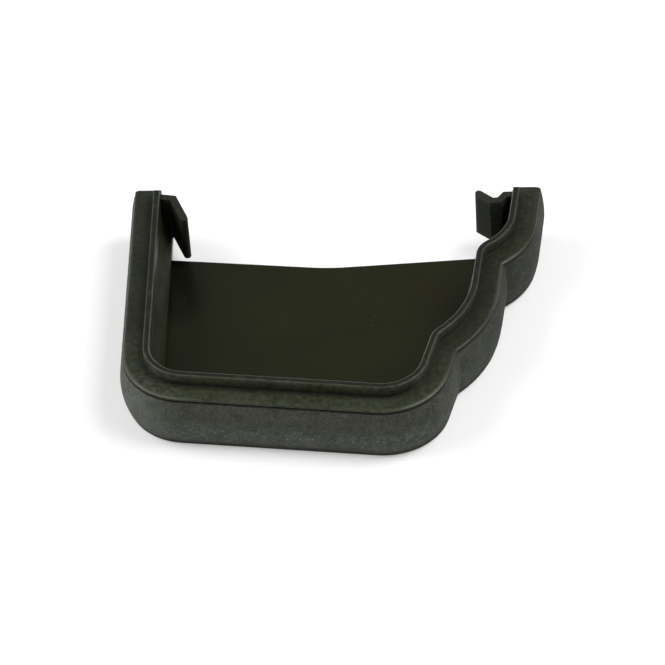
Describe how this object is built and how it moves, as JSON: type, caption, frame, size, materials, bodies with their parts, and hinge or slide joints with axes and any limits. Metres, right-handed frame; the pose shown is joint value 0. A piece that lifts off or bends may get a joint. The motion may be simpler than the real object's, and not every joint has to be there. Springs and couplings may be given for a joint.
{
  "type": "gutter end cap",
  "caption": "Push-fit end cap for an ogee rain gutter: a flat closed end, a crowned outer wall, a mouth collar, spring clips and a rubber seal.",
  "frame": {"origin": "under the middle of the cap, on the outer face of its closed end", "axes": "+X from the back wall to the moulded front, +Y from the gutter's bottom to its open top, +Z from the closed end to the mouth"},
  "size_m": [0.1294, 0.1016, 0.0234],
  "materials": {
    "moulding": "olive black, spark-textured outside, satin inside",
    "seal": "black, dull"
  },
  "bodies": {
    "root": {"cap_body": "moulding", "gutter_seal": "seal"}
  },
  "joints": []
}
